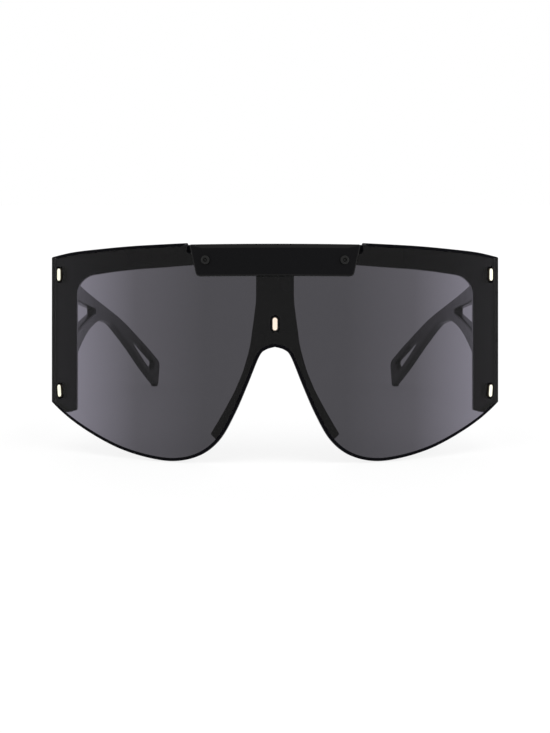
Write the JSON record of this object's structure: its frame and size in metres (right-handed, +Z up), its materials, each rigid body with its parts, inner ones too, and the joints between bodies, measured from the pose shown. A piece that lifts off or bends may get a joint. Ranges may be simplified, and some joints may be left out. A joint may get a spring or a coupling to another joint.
{
  "type": "oversized shield sunglasses",
  "caption": "Oversized wraparound sunglasses: a smoke shield lens on a black half frame with a brow plate, and cut-out temples that fold in on hinges.",
  "frame": {"origin": "centre of the base of the whole object's box, on the surface that the lens's lower edge and the temple tips stand on", "axes": "+Y from the lens back along the open temples, +Z up, +X to the right when the lens is seen from in front"},
  "size_m": [0.146, 0.165, 0.068],
  "materials": {
    "lens": "polished smoke polycarbonate",
    "frame_black": "black moulded plastic",
    "plate_black": "satin black",
    "screw_black": "gloss black",
    "rivet_gold": "pale gold",
    "pad_rubber": "soft black",
    "hinge_metal": "nickel-plated"
  },
  "bodies": {
    "front": {"lens": "lens", "front_frame": "frame_black", "brow_plate": "plate_black", "plate_screw_left": "screw_black", "plate_screw_right": "screw_black", "corner_rivet_upper_left": "rivet_gold", "corner_rivet_upper_right": "rivet_gold", "corner_rivet_lower_left": "rivet_gold", "corner_rivet_lower_right": "rivet_gold", "bridge_rivet": "rivet_gold", "nose_pad_left": "pad_rubber", "nose_pad_right": "pad_rubber", "front_hinge_left": "hinge_metal", "front_hinge_right": "hinge_metal", "front_hinge_screws_left": "hinge_metal", "front_hinge_screws_right": "hinge_metal", "hinge_screw_left": "hinge_metal", "hinge_screw_right": "hinge_metal"},
    "temple_left": {"temple_left": "frame_black", "temple_hinge_left": "hinge_metal", "temple_hinge_screws_left": "hinge_metal"},
    "temple_right": {"temple_right": "frame_black", "temple_hinge_right": "hinge_metal", "temple_hinge_screws_right": "hinge_metal"}
  },
  "joints": [
    {"name": "temple_fold_right", "type": "hinge", "parent": "front", "child": "temple_right", "pos_m": [0.0668, -0.04395, 0.04122], "axis": [0, 0.1313, 0.9913], "range_deg": [0, 84]},
    {"name": "temple_fold_left", "type": "hinge", "parent": "front", "child": "temple_left", "pos_m": [-0.0668, -0.04395, 0.04122], "axis": [0, -0.1313, -0.9913], "range_deg": [0, 76]}
  ]
}
